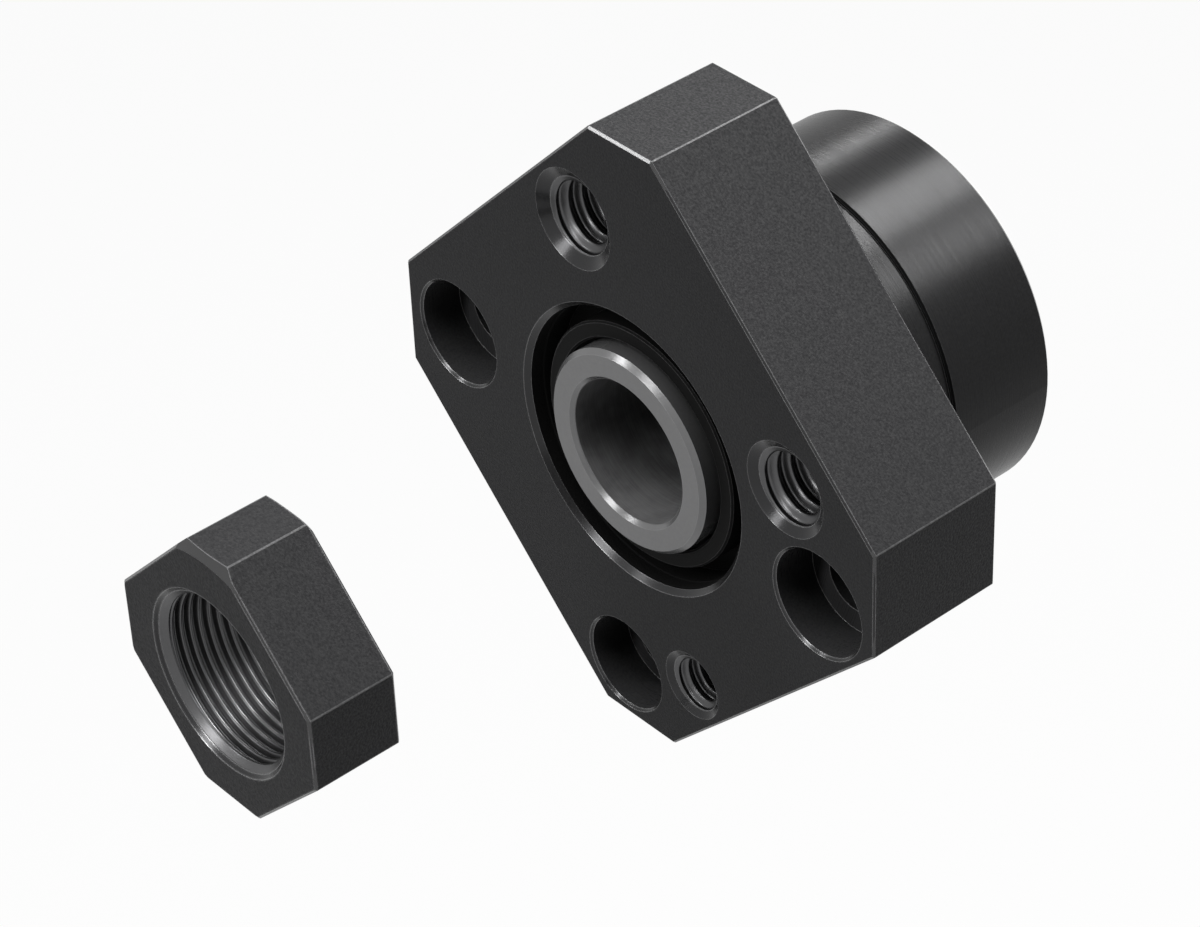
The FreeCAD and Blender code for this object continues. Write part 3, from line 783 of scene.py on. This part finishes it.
def set_world(context, studio):
    world = bpy.data.worlds.new("Studio")
    world.use_nodes = True
    world.node_tree.nodes.clear()
    wires = Wires(world.node_tree)
    output = world.node_tree.nodes.new("ShaderNodeOutputWorld")
    background = world.node_tree.nodes.new("ShaderNodeBackground")
    background.inputs["Color"].default_value = (1.0, 1.0, 1.0, 1.0)
    strength = wires.blend_value(seen_directly(wires), studio.ambient, 1.0)
    wires.feed(background.inputs["Strength"], strength)
    world.node_tree.links.new(background.outputs[0], output.inputs["Surface"])
    context.scene.world = world


def set_floor(studio):
    """A wide pale floor, six metres across"""
    half = 3.0
    count = 24
    verts = []
    for row in range(count + 1):
        for column in range(count + 1):
            across = half * (2 * column / count - 1)
            along = half * (2 * row / count - 1)
            verts.append((across, along, -studio.floor_drop))
    faces = []
    for row in range(count):
        for column in range(count):
            first = row * (count + 1) + column
            faces.append((first, first + 1, first + count + 2, first + count + 1))
    mesh = bpy.data.meshes.new("floor")
    mesh.from_pydata(verts, [], faces)
    floor = bpy.data.objects.new("floor", mesh)
    bpy.context.scene.collection.objects.link(floor)
    mesh.materials.append(floor_paper())


def floor_paper():
    """White paper: mostly its own white for what sees it directly, the rest keeps the shadow"""
    material, shader = new_material("Floor paper")
    tree = material.node_tree
    wires = Wires(tree)
    grain = wires.use(fine_grain(), scale=FLOOR_GRAIN, contrast=0.2)
    paper = wires.blend(grain["Tone"], (0.80, 0.80, 0.80, 1), (0.84, 0.84, 0.84, 1))
    wires.feed(shader.inputs["Base Color"], paper)
    shader.inputs["Roughness"].default_value = 0.9
    shader.inputs["Specular IOR Level"].default_value = 0.0
    glow = tree.nodes.new("ShaderNodeEmission")
    glow.inputs["Strength"].default_value = 1.0
    mix = tree.nodes.new("ShaderNodeMixShader")
    wires.feed(mix.inputs[0], wires.math("MULTIPLY", seen_directly(wires), 0.94))
    output = next(node for node in tree.nodes if node.type == "OUTPUT_MATERIAL")
    tree.links.new(shader.outputs["BSDF"], mix.inputs[1])
    tree.links.new(glow.outputs[0], mix.inputs[2])
    tree.links.new(mix.outputs[0], output.inputs["Surface"])
    return material


def add_lamp(name, place, target, size, energy):
    data = bpy.data.lights.new(name, "AREA")
    data.shape = "RECTANGLE"
    data.size, data.size_y = size
    data.energy = energy
    lamp = bpy.data.objects.new(name, data)
    bpy.context.scene.collection.objects.link(lamp)
    lamp.location = place
    lamp.rotation_mode = "QUATERNION"
    lamp.rotation_quaternion = (Vector(target) - Vector(place)).to_track_quat("-Z", "Y")


def set_lamps(studio):
    for name, place, size, setting in LAMPS:
        add_lamp(name, place, LAMPS_AIM, size, getattr(studio, setting))


class SUPPORT_PT_panel(bpy.types.Panel):
    """Lists the sizes, colours and steps of the end support"""

    bl_label = "Ball screw end support"
    bl_idname = "SUPPORT_PT_panel"
    bl_space_type = "VIEW_3D"
    bl_region_type = "UI"
    bl_category = "End support"

    def draw(self, context):
        for group in settings(context):
            box = self.layout.box()
            for name in group.__annotations__:
                box.prop(group, name)
        for operator in OPERATORS:
            self.layout.operator(operator.bl_idname)


GROUPS = (SupportFinish, SupportThreads, SupportStudio)
OPERATORS = (
    SUPPORT_OT_housing,
    SUPPORT_OT_seals,
    SUPPORT_OT_collars,
    SUPPORT_OT_bearings,
    SUPPORT_OT_lock_nut,
    SUPPORT_OT_threads,
    SUPPORT_OT_stage,
)


def register():
    for kind in (*GROUPS, *OPERATORS, SUPPORT_PT_panel):
        bpy.utils.register_class(kind)
    bpy.types.Scene.support_finish = PointerProperty(type=SupportFinish)
    bpy.types.Scene.support_threads = PointerProperty(type=SupportThreads)
    bpy.types.Scene.support_studio = PointerProperty(type=SupportStudio)


def unregister():
    del bpy.types.Scene.support_studio
    del bpy.types.Scene.support_threads
    del bpy.types.Scene.support_finish
    for kind in (SUPPORT_PT_panel, *reversed(OPERATORS), *reversed(GROUPS)):
        bpy.utils.unregister_class(kind)


def main():
    register()
    bpy.ops.support.housing()
    bpy.ops.support.seals()
    bpy.ops.support.collars()
    bpy.ops.support.bearings()
    bpy.ops.support.lock_nut()
    bpy.ops.support.threads()
    bpy.ops.support.stage()


if __name__ == "__main__":
    main()
